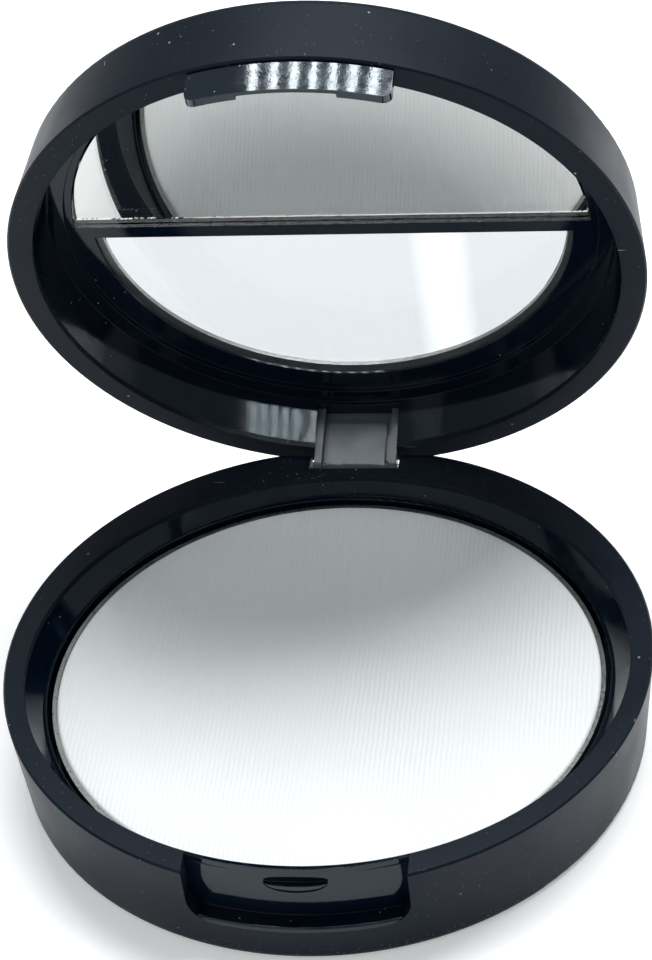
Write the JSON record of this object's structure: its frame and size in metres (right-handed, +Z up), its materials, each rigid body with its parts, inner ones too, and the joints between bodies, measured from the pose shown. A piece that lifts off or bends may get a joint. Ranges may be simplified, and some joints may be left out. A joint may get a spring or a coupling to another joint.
{
  "type": "powder compact",
  "caption": "Round black hinged compact: white pressed powder in a metal pan, and a lid with a half-moon mirror above a clear half-moon window.",
  "frame": {"origin": "centre of the flat underside of the base", "axes": "+Z up out of the base, +Y towards the hinge at the back, -Y towards the latch, +X to the right of someone facing the open mirror"},
  "size_m": [0.07, 0.0782, 0.0768],
  "materials": {
    "case_matte": "fine matte black, dusty, with light scratches",
    "case_gloss": "polished black",
    "hinge_plastic": "satin black",
    "pan_metal": "thin pressed sheet, satin",
    "powder": "pressed white powder, soft satin with fine ribs",
    "glue": "hot-melt glue",
    "pin_steel": "drawn wire",
    "mirror_glass": "clear float glass in front of the silver",
    "silver_coat": "silvered",
    "tape": "foam tape",
    "window_clear": "clear moulded plastic, dusty, fine hairline scratches"
  },
  "bodies": {
    "base": {"base_shell": "case_matte", "base_tray": "case_gloss", "powder_pan": "pan_metal", "pan_glue": "glue", "powder_cake": "powder", "hinge_pin": "pin_steel"},
    "lid": {"lid_shell": "case_matte", "lid_liner": "case_gloss", "half_mirror": "mirror_glass", "mirror_silver": "silver_coat", "mirror_tape": "tape", "lid_window": "window_clear", "latch_tab": "case_gloss", "hinge_leg": "hinge_plastic"}
  },
  "joints": [
    {"name": "lid_hinge", "type": "hinge", "parent": "base", "child": "lid", "pos_m": [0, 0.0332, 0.0099], "axis": [-1, 0, 0], "range_deg": [-74, 21]}
  ]
}
